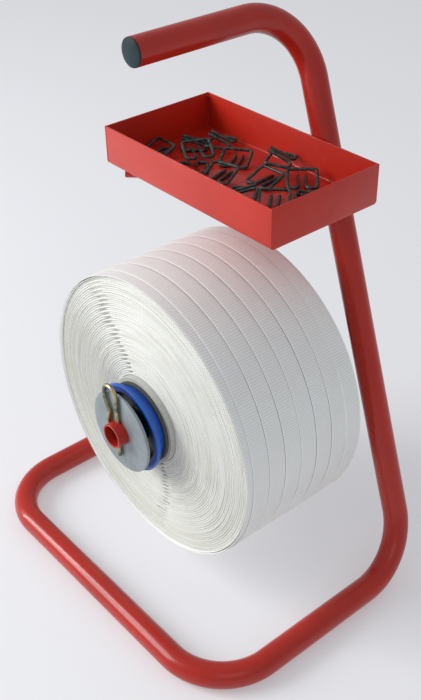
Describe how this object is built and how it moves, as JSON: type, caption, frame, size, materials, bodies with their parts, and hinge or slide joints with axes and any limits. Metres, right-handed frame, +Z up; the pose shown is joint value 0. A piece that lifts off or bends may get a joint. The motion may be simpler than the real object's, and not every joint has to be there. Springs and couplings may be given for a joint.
{
  "type": "strap coil stand",
  "caption": "Portable stand of one bent tube that carries a coil of woven strap on a short axle, with a sheet tray of wire buckles and a carrying handle above it.",
  "frame": {"origin": "on the floor, below the middle of the outline's box", "axes": "+Z up; +X from the left rail to the right rail that carries the mast; -Y towards the open front end of the axle"},
  "size_m": [0.388, 0.304, 0.5435],
  "materials": {
    "frame_paint": "gloss enamel over tube",
    "tray_paint": "gloss enamel over sheet",
    "plug_plastic": "moulded, smooth",
    "hub_plastic": "moulded, slightly matt in the dish",
    "ring_board": "dull fibre",
    "core_board": "wound paperboard",
    "woven_strap": "fine transverse ribs",
    "plated_steel": "blue-grey plating",
    "yellow_zinc": "yellow zinc plating",
    "dark_wire": "phosphated wire, slightly oily"
  },
  "bodies": {
    "stand": {"frame_tube": "frame_paint", "handle_plug": "plug_plastic", "post_plug": "plug_plastic", "axle_tube": "frame_paint", "axle_weld": "frame_paint", "stop_ring": "frame_paint", "tray": "tray_paint", "tray_weld": "tray_paint", "tray_rod": "tray_paint", "rod_weld": "tray_paint", "wire_buckles": "dark_wire"},
    "coil": {"rear_hub": "hub_plastic", "rear_ring": "ring_board", "core_tube": "core_board", "strap_coil": "woven_strap", "front_ring": "ring_board", "front_hub": "hub_plastic"},
    "disc": {"retaining_disc": "plated_steel"},
    "clip": {"spring_clip": "yellow_zinc"}
  },
  "joints": [
    {"name": "coil_spin", "type": "hinge", "parent": "stand", "child": "coil", "pos_m": [0, 0, 0.1885], "axis": [0, 1, 0], "continuous": true},
    {"name": "disc_spin", "type": "hinge", "parent": "stand", "child": "disc", "pos_m": [0, 0, 0.1885], "axis": [0, 1, 0], "continuous": true},
    {"name": "clip_pull", "type": "slide", "parent": "stand", "child": "clip", "axis": [0, 0, 1], "range_m": [0, 0.045]}
  ]
}
